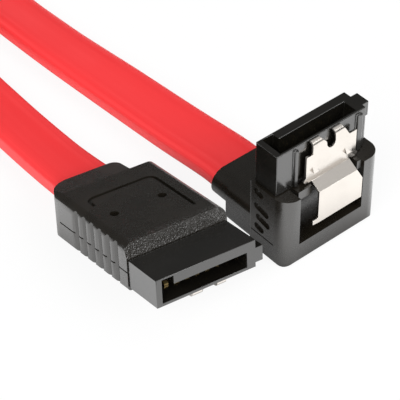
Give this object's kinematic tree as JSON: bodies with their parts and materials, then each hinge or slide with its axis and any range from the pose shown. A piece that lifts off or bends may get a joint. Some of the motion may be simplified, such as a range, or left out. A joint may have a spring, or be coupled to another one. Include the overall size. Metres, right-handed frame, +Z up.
{
  "type": "sata data cable",
  "caption": "Flat red data cable with a straight latching plug at one end and a right-angled latching plug at the other, laid out with one loop.",
  "frame": {"origin": "on the flat underside of the right-angled plug's boot, below the middle of its connector's width and in the plane of its latch face", "axes": "+Z up, out of the right-angled plug's mouth; -Y towards the side its latch faces; +Y along its cable; +X across the plugs. The cable and the straight plug lie on the floor z = 0."},
  "size_m": [0.0582, 0.1855, 0.0146],
  "materials": {
    "plug_plastic": "smooth moulded black",
    "boot_plastic": "satin overmoulded black",
    "spring_steel": "bright stamped spring sheet",
    "contact_gold": "plated, smooth",
    "inner_mould": "inner moulding",
    "cable_jacket": "soft extruded jacket, slight sheen"
  },
  "bodies": {
    "cable_and_plugs": {"straight_housing": "plug_plastic", "straight_contact_1": "contact_gold", "straight_contact_2": "contact_gold", "straight_contact_3": "contact_gold", "straight_contact_4": "contact_gold", "straight_contact_5": "contact_gold", "straight_contact_6": "contact_gold", "straight_contact_7": "contact_gold", "straight_boot": "boot_plastic", "straight_inner_mould": "inner_mould", "angled_housing": "plug_plastic", "angled_contact_1": "contact_gold", "angled_contact_2": "contact_gold", "angled_contact_3": "contact_gold", "angled_contact_4": "contact_gold", "angled_contact_5": "contact_gold", "angled_contact_6": "contact_gold", "angled_contact_7": "contact_gold", "angled_boot": "boot_plastic", "angled_inner_mould": "inner_mould", "cable_straight_run": "cable_jacket", "cable_loop": "cable_jacket", "cable_angled_run": "cable_jacket"},
    "straight_press": {"straight_latch": "spring_steel"},
    "angled_press": {"angled_latch": "spring_steel"}
  },
  "joints": [
    {"name": "straight_latch_press", "type": "hinge", "parent": "cable_and_plugs", "child": "straight_press", "pos_m": [-0.016, -0.00153, 0.00428], "axis": [0.9915, -0.0733, -0.1076], "range_deg": [0, 3], "stiffness_Nm_per_rad": 0.3},
    {"name": "angled_latch_press", "type": "hinge", "parent": "cable_and_plugs", "child": "angled_press", "pos_m": [0.0008, -0.0001, 0.0143], "axis": [1, 0, 0], "range_deg": [0, 3], "stiffness_Nm_per_rad": 0.3}
  ]
}
